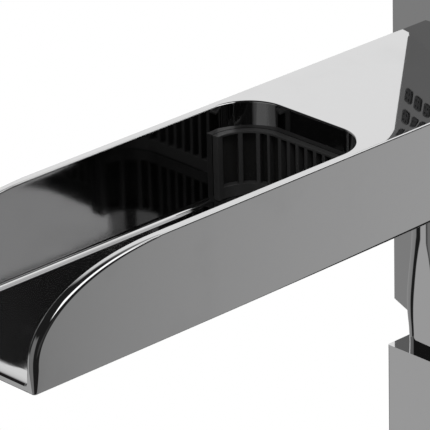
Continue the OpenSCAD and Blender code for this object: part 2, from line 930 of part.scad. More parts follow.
// square knob with a pointer line
module diverter_knob() {
    color("dimgray")
    translate([0, 0, valve_z])
        difference() {
            translate([0, -knob_at, 0])
                rotate([90, 0, 0])
                    rblock(knob_w, knob_w, knob_len, knob_corner_r, 0);
            yrod(stem_r + seat_gap, -knob_at - knob_socket, 0);
            translate([-pointer_w*half, -knob_at - knob_len - cut, knob_w*half - pointer_len])
                cube([pointer_w, pointer_d + cut, pointer_len + cut]);
        }
}

// half-inch nipple for the spray hose at the back of the mixer bar
module hose_outlet() {
    color("dimgray")
    translate([0, 0, valve_z])
        difference() {
            union() {
                yrod(hose_spigot_r, diverter_end, mixer_face);
                yrod(hose_flange_r, mixer_face, mixer_face + hose_flange_t);
                yrod(hose_r, mixer_face + hose_flange_t, mixer_face + hose_flange_t + hose_len);
            }
            yrod(hose_bore_r, 0, mixer_face + hose_flange_t + hose_len + cut);
        }
}

// upper square tube, closed by its top, with the stud hole
module column_upper() {
    color("dimgray")
    difference() {
        rblock(column_w, column_w, column_top - mixer_top, column_edge_r, mixer_top);
        rblock(column_inner*2, column_inner*2, column_top - column_roof - mixer_top + cut,
            column_edge_in, mixer_top - cut);
        zrod(stud_r + seat_gap, mixer_top, column_top + cut);
        for (k = [0, 1])
            translate([0, 0, foot_low + arm_screw_low + k*arm_screw_gap])
                yrod(arm_screw_r + seat_gap, column_inner - cut, column_half + cut);
    }
}

// pipe from the mixer bar to the hollow stud
module feed_pipe() {
    color("peru")
    difference() {
        zrod(feed_r, mixer_top + spigot_h - feed_socket, stud_foot + feed_socket);
        zrod(feed_bore_r, mixer_top, stud_foot + feed_socket + cut);
    }
}

// half width and flat at a distance below the spout, by smooth steps between stations
function pick(s, i) = neck_stations[max(0, min(len(neck_stations) - 1, i))][s];
function seat_of(d, i) = i >= len(neck_stations) - 2 || neck_stations[i + 1][0] >= d ? i : seat_of(d, i + 1);
function spline(a, b, c, d, t) = b + t*(c - a + t*(2*a - 5*b + 4*c - d + t*(3*b - a - 3*c + d)))*half;
function at_depth(s, d) = let (i = seat_of(d, 0),
    t = (d - pick(0, i))/(pick(0, i + 1) - pick(0, i)))
    spline(pick(s, i - 1), pick(s, i), pick(s, i + 1), pick(s, i + 2), t);

// corner points of one section: flats front and back, elliptical ends
function neck_ring(w, f, z) = [for (q = [0:3]) for (k = [0:neck_corner_steps])
    let (a = q*90 + k*90/neck_corner_steps, sx = q == 0 || q == 3 ? 1 : -1)
    [sx*f + (w - f)*cos(a), neck_half_d*sin(a), z]];

// body with flat ends from rings of equal length
module skin(rings) {
    n = len(rings[0]);
    m = len(rings);
    pts = [for (r = rings) for (p = r) p];
    sides = [for (i = [0:m - 2]) for (j = [0:n - 1])
        for (t = [0, 1])
            t == 0 ? [i*n + j, (i + 1)*n + j, i*n + (j + 1)%n]
                : [(i + 1)*n + j, (i + 1)*n + (j + 1)%n, i*n + (j + 1)%n]];
    low = [for (j = [0:n - 1]) j];
    high = [for (j = [0:n - 1]) m*n - 1 - j];
    polyhedron(points = pts, faces = concat(sides, [low], [high]), convexity = 4);
}

// neck that swells from a lens section under the spout to a flat-fronted foot on the column
module neck() {
    color("dimgray")
    difference() {
        skin([for (k = [0:neck_rings])
            let (d = neck_h*(1 - k/neck_rings), w = at_depth(1, d), f = max(thin_flat, at_depth(2, d)))
            neck_ring(w, f, spout_under - d)]);
        zrod(stud_r + seat_gap, column_top - cut, spout_under + cut);
    }
}

// hollow stud that clamps column, neck and spout together and carries the water
module neck_stud() {
    color("goldenrod")
    difference() {
        zrod(stud_r, stud_foot, trough_z + stud_above);
        zrod(stud_bore_r, stud_foot - cut, trough_z + stud_above + cut);
        zrod(feed_r + seat_gap, stud_foot - cut, stud_foot + feed_socket);
    }
}

// one round nut with four spanner slots
module round_nut(z) {
    difference() {
        zrod(nut_r, z, z + nut_h);
        zrod(stud_r + seat_gap, z - cut, z + nut_h + cut);
        for (a = [0:90:270])
            rotate([0, 0, a])
                translate([nut_r - nut_slot_d, -nut_slot_w*half, z - cut])
                    cube([nut_slot_d + cut, nut_slot_w, nut_h + 2*cut]);
    }
}

module neck_nuts() {
    color("goldenrod") {
        round_nut(nut_low_z);
        round_nut(nut_high_z);
    }
}

// flat seals under both nuts
module neck_seals() {
    color("black")
    for (z = [column_top - column_roof - seal_t, trough_z])
        difference() {
            zrod(seal_r, z, z + seal_t);
            zrod(stud_r + seat_gap, z - cut, z + seal_t + cut);
        }
}

// plan shape with rounded back corners, inset from the trough's walls
module trough_plan(inset, front, z0, z1) {
    r = trough_corner_r - inset;
    w = spout_inner - inset;
    back = -trough_back - inset;
    translate([-w + r, front, z0])
        cube([2*(w - r), back - front, z1 - z0]);
    translate([-w, front, z0])
        cube([2*w, back - r - front, z1 - z0]);
    for (sx = [-1, 1])
        translate([sx*(w - r), back - r, z0])
            rotate([0, 0, -90])
                cylinder(r = r, h = z1 - z0);
}

// front curve of the side walls, set back by d where the wall's outer edge is rounded
function cheek_y(a, d) = -spout_reach + d + (cheek_run - d)*(1 - pow(cos(a), 2/cheek_power));
function cheek_up(a) = spout_under + cheek_z + (cheek_rise + top_over)*pow(sin(a), 2/cheek_power);
function cheek_ring(x, d) = concat(
    [[x, -spout_reach + d, spout_under - far_off],
    [x, -spout_reach - far_off, spout_under - far_off],
    [x, -spout_reach - far_off, spout_top + far_off],
    [x, -spout_reach + cheek_run, spout_top + far_off]],
    [for (k = [curve_steps:-1:0]) [x, cheek_y(quarter*k/curve_steps, d), cheek_up(quarter*k/curve_steps)]]);
function edge_x(p) = spout_half - cheek_round_low*(1 - sin(p));
function edge_d(p) = cheek_round_low*(1 - cos(p));

// everything in front of the side walls' curved edges, across the whole spout
module front_space() {
    skin(concat([cheek_ring(spout_half + cut, cheek_round_low)],
        [for (k = [edge_steps:-1:0]) cheek_ring(edge_x(quarter*k/edge_steps), edge_d(quarter*k/edge_steps))],
        [for (k = [0:edge_steps]) cheek_ring(-edge_x(quarter*k/edge_steps), edge_d(quarter*k/edge_steps))],
        [cheek_ring(-spout_half - cut, cheek_round_low)]));
}

// long rounded block of the spout from y0 to y1
module spout_bar(y0, y1) {
    translate([0, y0, spout_under + spout_h*half])
        rotate([-90, 0, 0])
            rblock(spout_w, spout_h, y1 - y0, spout_edge_r, 0);
}

// trough, closed rear part with its water chamber, and the side walls with their curved fronts
module spout_body() {
    color("dimgray")
    difference() {
        spout_bar(-spout_reach - 2*cut, spout_back - cap_t);
        front_space();
        trough_plan(0, -spout_reach - 2*far_off, trough_z + trough_fillet_r, spout_top + cut);
        translate([-spout_inner + trough_fillet_r, -spout_reach - far_off, trough_z])
            cube([2*(spout_inner - trough_fillet_r), spout_reach - trough_back - comb_run + far_off,
                spout_h]);
        trough_plan(0, -trough_back - comb_run, trough_z, spout_top);
        for (sx = [-1, 1])
            translate([sx*(spout_inner - trough_fillet_r), -spout_reach - far_off,
                    trough_z + trough_fillet_r])
                yrod(trough_fillet_r, 0, spout_reach - trough_back - comb_run + far_off);
        translate([-spout_inner, -spout_reach, trough_z])
            rotate([90, 0, 90])
                linear_extrude(spout_inner*2)
                    polygon(concat([[-far_off, -lip_drop], [-far_off, cut]], [for (k = [0:lip_steps])
                        [lip_run*(1 - sin(k*90/lip_steps)), -lip_drop*(1 - cos(k*90/lip_steps))]]));
        translate([-spout_inner, -trough_back + trough_rear_wall, trough_z])
            cube([2*spout_inner, trough_back + spout_back, chamber_z]);
        translate([-window_w*half, -trough_back - cut, trough_z + window_low])
            cube([window_w, trough_rear_wall + 2*cut, window_h]);
        zrod(stud_r + seat_gap, spout_under - cut, trough_z + cut);
    }
}

// curved comb at the back of the trough: slotted web between two rims, hollow behind
module spout_comb() {
    mid_z = trough_z + slot_low;
    end_z = trough_z + comb_h - slot_top;
    slot_z = mid_z + slot_strip;
    slot_h = end_z - mid_z - 2*slot_strip;
    front = -trough_back - comb_run;
    color("black")
    difference() {
        intersection() {
            trough_plan(seat_gap, front, trough_z, trough_z + comb_h);
            translate([-spout_half, front, trough_z - cut])
                cube([spout_w, comb_run, comb_h + 2*cut]);
        }
        trough_plan(comb_t, front - cut, trough_z - cut, trough_z + comb_h + cut);
        intersection() {
            difference() {
                trough_plan(-cut, front, mid_z, end_z);
                trough_plan(comb_t - web_t, front - cut, mid_z - cut, end_z + cut);
            }
            translate([-spout_w, front + cut, trough_z])
                cube([2*spout_w, comb_run + 2*cut, comb_h]);
        }
        difference() {
            trough_plan(comb_t - ledge_rim - ledge_groove_w, front - cut,
                trough_z + comb_h - ledge_groove_d, trough_z + comb_h + cut);
            trough_plan(comb_t - ledge_rim, front - 2*cut, trough_z, trough_z + comb_h + 2*cut);
        }
        for (sx = [-1, 1]) {
            for (k = [0:flat_slots - 1])
                translate([sx*rib_pitch*(k + half) - slot_w*half, -trough_back - comb_t - cut, slot_z])
                    cube([slot_w, comb_t, slot_h]);
            for (k = [0:corner_slots - 1])
                translate([sx*(spout_inner - trough_corner_r), -trough_back - trough_corner_r, slot_z])
                    rotate([0, 0, -sx*k*corner_slot_step])
                        translate([-slot_w*half, trough_corner_r - comb_t - cut, 0])
                            cube([slot_w, comb_t, slot_h]);
        }
    }
}

// perforated plate that evens the flow inside the chamber
module flow_plate() {
    color("lightgray")
    difference() {
        translate([-spout_inner + seat_gap, -flow_at - flow_t, trough_z])
            cube([2*(spout_inner - seat_gap), flow_t, chamber_z - seat_gap]);
        for (i = [-flow_cols:flow_cols])
            for (j = [-flow_rows:flow_rows])
                translate([i*flow_pitch, 0, trough_z + chamber_z*half + j*flow_pitch])
                    yrod(flow_hole_r, -flow_at - flow_t - cut, -flow_at + cut);
    }
}

// plate that closes the rear of the spout
module spout_end_cap() {
    color("dimgray")
    difference() {
        union() {
            spout_bar(spout_back - cap_t, spout_back);
            translate([-spout_inner + seat_gap, spout_back - cap_t - cap_collar, trough_z + seat_gap])
                cube([2*(spout_inner - seat_gap), cap_collar + cut, chamber_z - 2*seat_gap]);
        }
        translate([-spout_inner + cap_collar_t, spout_back - cap_t - cap_collar - cut,
                trough_z + cap_collar_t])
            cube([2*(spout_inner - cap_collar_t), cap_collar + cut, chamber_z - 2*cap_collar_t]);
    }
}

// arm at the back of the column with the eye of the swivel
module dock_arm() {
    color("dimgray")
    difference() {
        union() {
            translate([-arm_foot_w*half, column_half, foot_low])
                cube([arm_foot_w, arm_foot_t, arm_foot_h]);
            translate([-arm_w*half, column_half, arm_z])
                cube([arm_w, pivot_y - column_half, arm_h]);
            translate([0, pivot_y, 0])
                zrod(eye_r, arm_z, arm_top);
        }
        translate([0, pivot_y, 0])
            zrod(pin_r + run_gap, arm_z - cut, arm_top + cut);
        for (k = [0, 1])
            translate([0, 0, foot_low + arm_screw_low + k*arm_screw_gap])
                yrod(arm_screw_r + seat_gap, column_half - cut, column_half + arm_foot_t + cut);
    }
}

// two screws that hold the arm on the column
module arm_screws() {
    color("gray")
    for (k = [0, 1])
        translate([0, 0, foot_low + arm_screw_low + k*arm_screw_gap])
            difference() {
                union() {
                    yrod(arm_screw_r, column_inner, column_half + arm_foot_t);
                    yrod(arm_head_r, column_half + arm_foot_t, column_half + arm_foot_t + arm_head_h);
                }
                translate([0, column_half + arm_foot_t + arm_head_h*half, 0])
                    rotate([-90, 0, 0])
                        hexhole(hex_w, 0, arm_head_h);
            }
}

// headed pin of the swivel with a groove for its ring
module dock_pin() {
    ring_z = lug_down_z - ring_t;
    color("silver")
    translate([0, pivot_y, 0])
        difference() {
            union() {
                zrod(pin_r, ring_z - pin_tail, lug_up_z + lug_t);
                zrod(pin_head_r, lug_up_z + lug_t, lug_up_z + lug_t + pin_head_h);
            }
            rotate_extrude()
                translate([pin_r - ring_groove, ring_z])
                    square([cut, ring_t]);
        }
}

// retaining ring below the lower lug
module pin_ring() {
    color("silver")
    translate([0, pivot_y, 0])
        difference() {
            zrod(ring_r, lug_down_z - ring_t, lug_down_z);
            zrod(pin_r - ring_groove, lug_down_z - ring_t - cut, lug_down_z + cut);
        }
}

// place of the dock, turned about the vertical
module at_dock() {
    translate([-dock_x, dock_y, 0])
        rotate([0, 0, -dock_yaw])
            children();
}

// one lug of the sleeve round the swivel pin
module lug(z) {
    translate([0, pivot_y, 0])
        rotate([0, 0, -dock_yaw])
            translate([-lug_len, -lug_w*half, z])
                cube([lug_len, lug_w, lug_t]);
    translate([0, pivot_y, 0])
        zrod(lug_r, z, z + lug_t);
}

// tall square sleeve that holds the wand, with two lugs for the swivel
module dock_sleeve() {
    color("dimgray")
    difference() {
        union() {
            at_dock()
                rblock(sleeve_w, sleeve_d, sleeve_h, sleeve_edge_r, sleeve_z);
            lug(lug_up_z);
            lug(lug_down_z);
        }
        at_dock() {
            rblock(sleeve_w - 2*sleeve_wall, sleeve_d - 2*sleeve_wall, sleeve_h,
                sleeve_edge_r*half, liner_z);
            zrod(sleeve_hole_r, sleeve_z - cut, liner_z + cut);
        }
        translate([0, pivot_y, 0])
            zrod(pin_r + seat_gap, lug_down_z - cut, lug_up_z + lug_t + cut);
    }
}

// plastic liner inside the sleeve, whose floor carries the wand
module dock_liner() {
    w = sleeve_w - 2*sleeve_wall - 2*plug_gap;
    d = sleeve_d - 2*sleeve_wall - 2*plug_gap;
    color("black")
    at_dock()
        difference() {
            rblock(w, d, liner_top - liner_z, sleeve_edge_r*half, liner_z);
            block(w - 2*liner_wall, d - 2*liner_wall, sleeve_h, liner_z + liner_floor);
            zrod(liner_hole_r, liner_z - cut, liner_z + liner_floor + cut);
        }
}

// place of the wand's head: origin at the middle of its foot's front edge, leaning forward
module at_head() {
    at_dock()
        translate([0, -sleeve_d*half + wand_set, sleeve_top + wand_clear])
            rotate([wand_lean, 0, 0])
                children();
}

// upright rounded slab on the head's front plane from y0 to y1
module slab(w, h, r, y0, y1, z) {
    translate([0, y0, z + h*half])
        rotate([-90, 0, 0])
            rblock(w, h, y1 - y0, r, 0);
}

// stem in the dock and leaning head in one hollow piece
module wand_body() {
    joint_h = wand_head_d*half;
    color("dimgray")
    difference() {
        union() {
            at_dock()
                rblock(wand_w, wand_stem_d, sleeve_top + wand_clear + joint_h - wand_z,
                    sleeve_edge_r, wand_z);
            at_head()
                slab(wand_w, wand_head_h, wand_corner_r, 0, wand_head_d, 0);
        }
        at_dock() {
            zrod(inlet_spigot_r + seat_gap, wand_z - cut, wand_z + inlet_spigot_h);
            zrod(inlet_bore_r, wand_z, sleeve_top + wand_clear + joint_h*half);
        }
        at_head() {
            translate([-wand_bore_w*half, wand_head_d*half - inlet_bore_r, wand_corner_r])
                cube([wand_bore_w, inlet_bore_r, wand_head_h - 2*wand_corner_r]);
            translate([-wand_w*half + wand_corner_r, pad_sheet_t, face_low + pad_low - pad_pitch_z])
                cube([wand_w - 2*wand_corner_r, wand_head_d*half - inlet_bore_r,
                    pad_rows*pad_pitch_z + pad_pitch_z*half]);
            pad_pocket(pad_gap, -cut, pad_sheet_t + cut);
        }
        at_head()
            translate([-wand_w, -wand_w, face_low])
                cube([2*wand_w, wand_w, wand_head_h]);
    }
}

// block of the sheet that joins the pads
module pad_pocket(gap, y0, y1) {
    translate([-(pad_cols*pad_pitch_x)*half - gap, y0, face_low + pad_low - pad_pitch_z*half - gap])
        cube([pad_cols*pad_pitch_x + 2*gap, y1 - y0, pad_rows*pad_pitch_z + 2*gap]);
}

// one child at every pad's place
module each_pad() {
    for (i = [0:pad_cols - 1])
        for (j = [0:pad_rows - 1])
            translate([(i - (pad_cols - 1)*half)*pad_pitch_x, 0,
                    face_low + pad_low + j*pad_pitch_z - pad_w*half])
                children();
}

// spray face with one opening for each pad
module wand_face() {
    color("dimgray")
    at_head()
        difference() {
            slab(wand_w, wand_head_h - face_low, wand_corner_r*half, -face_t, 0, face_low);
            each_pad()
                slab(pad_w + 2*pad_gap, pad_w + 2*pad_gap, pad_corner_r, -face_t - cut, cut, -pad_gap);
        }
}

// soft pads with four spray holes each, on one sheet behind the face
module wand_pads() {
    color("gray")
    at_head()
        difference() {
            union() {
                pad_pocket(0, 0, pad_sheet_t);
                each_pad()
                    slab(pad_w, pad_w, pad_corner_r, -face_t - pad_proud, pad_sheet_t*half, 0);
            }
            each_pad()
                for (sx = [-1, 1])
                    for (sz = [-1, 1])
                        translate([sx*spray_pitch*half, 0, pad_w*half + sz*spray_pitch*half])
                            yrod(spray_r, -face_t - pad_proud - cut, pad_sheet_t + cut);
        }
}

// half-inch nipple at the wand's foot
module wand_inlet() {
    color("silver")
    at_dock()
        difference() {
            union() {
                zrod(hose_r, wand_z - hose_len + move_gap, wand_z);
                zrod(inlet_spigot_r, wand_z, wand_z + inlet_spigot_h);
            }
            zrod(inlet_bore_r, wand_z - hose_len - cut, wand_z + inlet_spigot_h + cut);
        }
}

floor_plate();
inlet_block();
column_foot();
base_screws();
floor_cover();
column_lower();
foot_screws();
hot_riser();
cold_riser();
mixer_body();
hot_cartridge();
cold_cartridge();
hot_spindle();
cold_spindle();
hot_bonnet();
cold_bonnet();
hot_handle();
cold_handle();
hot_handle_screw();
cold_handle_screw();
diverter_cartridge();
diverter_stem();
diverter_bonnet();
diverter_knob();
hose_outlet();
column_upper();
feed_pipe();
neck();
neck_stud();
neck_nuts();
neck_seals();
spout_body();
spout_comb();
flow_plate();
spout_end_cap();
dock_arm();
arm_screws();
dock_pin();
pin_ring();
dock_sleeve();
dock_liner();
wand_body();
wand_face();
wand_pads();
wand_inlet();
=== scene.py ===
"""Floor-standing waterfall tub filler: the finish of every part and the fine polished surfaces,
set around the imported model. Everything is in metres, in the model's own frame."""

import bmesh
import bpy
import numpy as np
from mathutils import Matrix, Vector


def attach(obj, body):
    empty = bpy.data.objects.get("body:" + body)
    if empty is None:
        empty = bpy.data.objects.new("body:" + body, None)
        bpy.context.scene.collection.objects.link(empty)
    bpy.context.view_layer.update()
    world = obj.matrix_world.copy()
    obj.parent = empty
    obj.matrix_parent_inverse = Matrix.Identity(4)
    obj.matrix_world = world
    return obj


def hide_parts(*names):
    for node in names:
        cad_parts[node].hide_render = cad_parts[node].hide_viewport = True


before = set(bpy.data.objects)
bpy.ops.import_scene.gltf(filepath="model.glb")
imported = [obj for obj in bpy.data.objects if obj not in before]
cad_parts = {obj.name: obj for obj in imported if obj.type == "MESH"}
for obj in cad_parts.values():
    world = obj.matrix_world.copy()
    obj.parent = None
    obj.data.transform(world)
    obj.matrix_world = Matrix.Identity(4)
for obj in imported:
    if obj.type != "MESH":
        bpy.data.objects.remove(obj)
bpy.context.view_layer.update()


# Camera and studio.
# A long lens looks down on the spout from its front right, against white. Polished metal mirrors
# a dark room with soft lit panels instead, and a ceiling light and a pale round floor do the rest.
CAMERA_PLACE = (1.03975, -1.10745, 1.5113)
CAMERA_HEADING = np.radians(46.518)
CAMERA_RISE = np.radians(23.933)
CAMERA_ROLL = np.radians(-1.411)
SENSOR = 36.0
LENS = 356.97
LENS_NEAR = 0.05
LENS_FAR = 40.0

FLOOR_RADIUS = 0.60
FLOOR_RING_SHARES = np.array([0.0, 0.35, 0.7, 1.0])
FLOOR_SIDES = 128
FLOOR_COLOR = (0.86, 0.86, 0.855)
FLOOR_PALER = (0.88, 0.88, 0.875)
ROOM_WHITE = 1.0
ROOM_DIFFUSE = 0.62
ROOM_DARK = 0.018
LAMP_PLACE = (0.9, -1.3, 3.4)
LAMP_AIM = (0, 0, 0.5)
LAMP_SIZE = 1.7
LAMP_POWER = 38.0


def turned_axes(heading, rise, roll):
    """Right, up and back unit vectors of a camera that looks from a heading and a rise, rolled.
    Back is (sin h cos e, -cos h cos e, sin e); right and up are level axes turned by the roll."""
    level = np.array([np.cos(heading), np.sin(heading), 0.0])
    ahead = np.array([np.sin(heading), -np.cos(heading), 0.0])
    back = ahead * np.cos(rise) + np.array([0.0, 0.0, np.sin(rise)])
    upright = np.cross(back, level)
    right = level * np.cos(roll) + upright * np.sin(roll)
    up = upright * np.cos(roll) - level * np.sin(roll)
    return right, up, back


lens_data = bpy.data.cameras.new("camera")
lens_data.sensor_width = SENSOR
lens_data.sensor_fit = "HORIZONTAL"
lens_data.lens = LENS
lens_data.clip_start = LENS_NEAR
lens_data.clip_end = LENS_FAR
camera = bpy.data.objects.new("camera", lens_data)
bpy.context.scene.collection.objects.link(camera)
stance = np.eye(4)
stance[:3, :3] = np.array(turned_axes(CAMERA_HEADING, CAMERA_RISE, CAMERA_ROLL)).T
stance[:3, 3] = CAMERA_PLACE
camera.matrix_world = Matrix(stance.tolist())
bpy.context.scene.camera = camera
bpy.context.scene.view_settings.view_transform = "Standard"


class Wire:
    """One shader socket. Sums of wires and numbers add Math nodes to the same node tree."""

    def __init__(self, nodes, socket):
        self.nodes = nodes
        self.socket = socket

    def twin(self, output):
        """Another output of the node that this wire comes from."""
        return Wire(self.nodes, self.socket.node.outputs[output])

    def joined(self, kind, first, second):
        return self.nodes.add("ShaderNodeMath", {"operation": kind}, {0: first, 1: second})

    def __add__(self, other):
        return self.joined("ADD", self, other)

    def __radd__(self, other):
        return self.joined("ADD", other, self)

    def __sub__(self, other):
        return self.joined("SUBTRACT", self, other)

    def __rsub__(self, other):
        return self.joined("SUBTRACT", other, self)

    def __mul__(self, other):
        return self.joined("MULTIPLY", self, other)

    def __rmul__(self, other):
        return self.joined("MULTIPLY", other, self)

    def __pow__(self, other):
        return self.joined("POWER", self, other)

    def __gt__(self, other):
        return self.joined("GREATER_THAN", self, other)

    def __abs__(self):
        return self.nodes.add("ShaderNodeMath", {"operation": "ABSOLUTE"}, {0: self})

    def larger(self, other):
        return self.joined("MAXIMUM", self, other)


class Nodes:
    """The node tree of one material or world, emptied, with one method that adds a node."""

    def __init__(self, owner):
        owner.use_nodes = True
        self.tree = owner.node_tree
        self.tree.nodes.clear()

    def add(self, kind, settings, values, output=0):
        """Adds a node, makes its settings, then fills or links its sockets. Gives an output."""
        node = self.tree.nodes.new(kind)
        for name, setting in settings.items():
            setattr(node, name, setting)
        for name, value in values.items():
            if isinstance(value, Wire):
                self.tree.links.new(value.socket, node.inputs[name])
            else:
                node.inputs[name].default_value = value
        return Wire(self, node.outputs[output]) if len(node.outputs) else None

    def smooth(self, value, low, high):
        """0 below low and 1 above high, with a soft step between."""
        return self.add("ShaderNodeMapRange", {"interpolation_type": "SMOOTHSTEP"},
                        {"Value": value, "From Min": low, "From Max": high})

    def blend(self, share, first, second):
        """A colour that goes from the first to the second with the share."""
        return self.add("ShaderNodeMix", {"data_type": "RGBA"},
                        {0: share, 6: (*first, 1.0), 7: (*second, 1.0)}, 2)

    def noise(self, place, scale, detail, **more):
        """Cloudy noise from 0 to 1, its clouds about 1 / scale across."""
        return self.add("ShaderNodeTexNoise", {},
                        {"Vector": place, "Scale": scale, "Detail": detail, **more}, "Fac")

    def bump(self, strength, distance, height, **more):
        """The normal of a surface that a height, times the distance, lifts."""
        return self.add("ShaderNodeBump", {}, {
            "Strength": strength, "Distance": distance, "Height": height, **more}, "Normal")

    def surface(self, values):
        """Ends a material with one shader."""
        shader = self.add("ShaderNodeBsdfPrincipled", {}, values)
        self.add("ShaderNodeOutputMaterial", {}, {"Surface": shader})


def cosine(degrees):
    return float(np.cos(np.radians(degrees)))


def sine(degrees):
    return float(np.sin(np.radians(degrees)))


# what polished metal sees: level, heading and half width of its full and faded reach, then the
# rises where it starts, is full, starts to fade and has faded, all in degrees
ROOM_LIGHTS = [
    (1.14, 112, 44, 62, -9, -1, 33, 84),
    (1.40, 74, 30, 44, 35, 41, 49, 60),
    (0.27, 190, 14, 22, 0, 6, 30, 42),
    (2.00, 14.5, 23, 25, 21, 26, 48, 56),
    (0.54, 66, 16, 34, -33, -29, -9, 1),
    (0.06, 2, 14, 20, -17, -13, -2, 4),
    (0.24, 270, 26, 36, -33, -29, 24, 34),
    (0.54, 224, 8, 13, -33, -29, -9, 1),
    (0.32, 166, 24, 30, -33, -29, 6, 12),
    (0.24, 128, 14, 20, -33, -29, -9, 1),
]

world = bpy.data.worlds.new("studio")
bpy.context.scene.world = world
n = Nodes(world)
look = n.add("ShaderNodeTexCoord", {}, {}, "Generated")
height = n.add("ShaderNodeSeparateXYZ", {}, {"Vector": look}, "Z")
level_look = n.add("ShaderNodeVectorMath", {"operation": "MULTIPLY"}, {0: look, 1: (1, 1, 0)})
level_look = n.add("ShaderNodeVectorMath", {"operation": "NORMALIZE"}, {0: level_look})
room = n.add("ShaderNodeValue", {}, {})
room.socket.default_value = ROOM_DARK
for level, heading, full, faded, start, high, fade, end in ROOM_LIGHTS:
    turned = n.add("ShaderNodeVectorMath", {"operation": "DOT_PRODUCT"},
                   {0: level_look, 1: (cosine(heading), sine(heading), 0.0)}, "Value")
    across = n.smooth(turned, cosine(faded), cosine(full))
    up = n.smooth(height, sine(start), sine(high))
    over = n.smooth(height, sine(fade), sine(end))
    room = room.larger(level * across * up * (1.0 - over))
camera_ray = n.add("ShaderNodeLightPath", {}, {}, "Is Camera Ray")
seen = camera_ray + camera_ray.twin("Is Transmission Ray")
mirrored = camera_ray.twin("Is Glossy Ray")
unseen = mirrored * room + (1.0 - mirrored) * ROOM_DIFFUSE
sky = n.add("ShaderNodeBackground", {}, {
    "Color": (1, 1, 1, 1), "Strength": seen * ROOM_WHITE + (1.0 - seen) * unseen})
n.add("ShaderNodeOutputWorld", {}, {"Surface": sky})

lamp_data = bpy.data.lights.new("ceiling_light", "AREA")
lamp_data.shape = "DISK"
lamp_data.size = LAMP_SIZE
lamp_data.energy = LAMP_POWER
lamp = bpy.data.objects.new("ceiling_light", lamp_data)
bpy.context.scene.collection.objects.link(lamp)
lamp.location = LAMP_PLACE
beam = Vector(LAMP_AIM) - Vector(LAMP_PLACE)
lamp.rotation_euler = beam.to_track_quat("-Z", "Y").to_euler()
lamp.visible_glossy = False


def shown(name, mesh, crease):
    """An object of a mesh, shaded smooth except at edges sharper than the crease in degrees."""
    mesh.shade_smooth()
    mesh.set_sharp_from_angle(angle=float(np.radians(crease)))
    piece = bpy.data.objects.new(name, mesh)
    bpy.context.scene.collection.objects.link(piece)
    return piece


def ringed_piece(name, points, caps=()):
    """A mesh from a grid of points: row i and column j give one vertex, neighbouring rows and
    columns give one quad, and the last column joins the first. A cap is a row that one face
    fills, and the way round, 1 or -1, in which it takes the row's points."""
    rows, cols = points.shape[:2]
    index = np.arange(rows * cols).reshape(rows, cols)
    a, b = index[:-1], index[1:]
    quads = np.stack([a, b, np.roll(b, -1, 1), np.roll(a, -1, 1)], -1).reshape(-1, 4)
    mesh = bpy.data.meshes.new(name)
    mesh.from_pydata(points.reshape(-1, 3).tolist(), [],
                     quads.tolist() + [index[row][::way].tolist() for row, way in caps])
    mesh.validate()
    return shown(name, mesh, crease=32.0)


def new_finish(name):
    """A new material, its nodes, and the place on the piece that its patterns read."""
    material = bpy.data.materials.new(name)
    nodes = Nodes(material)
    return material, nodes, nodes.add("ShaderNodeTexCoord", {}, {}, "Object")


around = np.linspace(0, 2 * np.pi, FLOOR_SIDES, endpoint=False)
radius = FLOOR_RING_SHARES[:, None] * FLOOR_RADIUS
disc = np.stack([radius * np.cos(around), radius * np.sin(around), 0 * radius * around], -1)
floor = ringed_piece("studio_floor", disc)
floor_finish, n, place = new_finish("studio_floor")
paper = n.blend(n.noise(place, scale=3.0, detail=4.0), FLOOR_COLOR, FLOOR_PALER)
n.surface({"Base Color": paper, "Roughness": 0.9})
floor.data.materials.append(floor_finish)


# Neck.
# A turned and milled chrome-plated brass post between the column and the spout. Its plan goes
# from an ellipse under the spout to a rounded bar with flat faces at the column, in one sweep.
NECK_TOP = 0.858
NECK_HEIGHT = 0.07765
NECK_HALF_DEPTH = 0.010
# depth below the spout, half width and half width of the flat, written in millimetres
NECK_STATIONS = np.array([
    [0, 12.1, 0], [15, 12.4, 0], [30, 12.8, 0], [36, 12.8, 1.6], [42, 13.3, 2.8],
    [49, 14.2, 3.6], [58, 15, 4.4], [65, 14.6, 4.7], [71, 13.5, 4.6], [77.65, 13, 4.6]]) / 1000
NECK_LEAST_FLAT = 0.00002
NECK_ROWS = 121
NECK_SIDE_COLUMNS = 41
CHROME_TONE = (0.575, 0.575, 0.577)
# share that darkens worn chrome at random, and also the whole trough's plate as painted shade
CHROME_WEAR_AND_SHADE_SHARE = 0.93


def through_stations(stations, depth):
    """Each measure at each depth on a smooth curve through the stations: between stations b and
    c, b + t(c - a + t(2a - 5b + 4c - d + t(3b - a - 3c + d)))/2 with a and d their neighbours."""
    last = len(stations) - 1
    i = np.clip(np.searchsorted(stations[:, 0], depth, side="left") - 1, 0, last - 1)
    t = ((depth - stations[i, 0]) / (stations[i + 1, 0] - stations[i, 0]))[:, None]
    a, b, c, d = (stations[np.clip(i + k, 0, last)] for k in (-1, 0, 1, 2))
    return b + t * (c - a + t * (2*a - 5*b + 4*c - d + t * (3*b - a - 3*c + d))) / 2


def dimmed(tone, share):
    """A share of a colour, or more than all of it."""
    return tuple(share * part for part in tone)


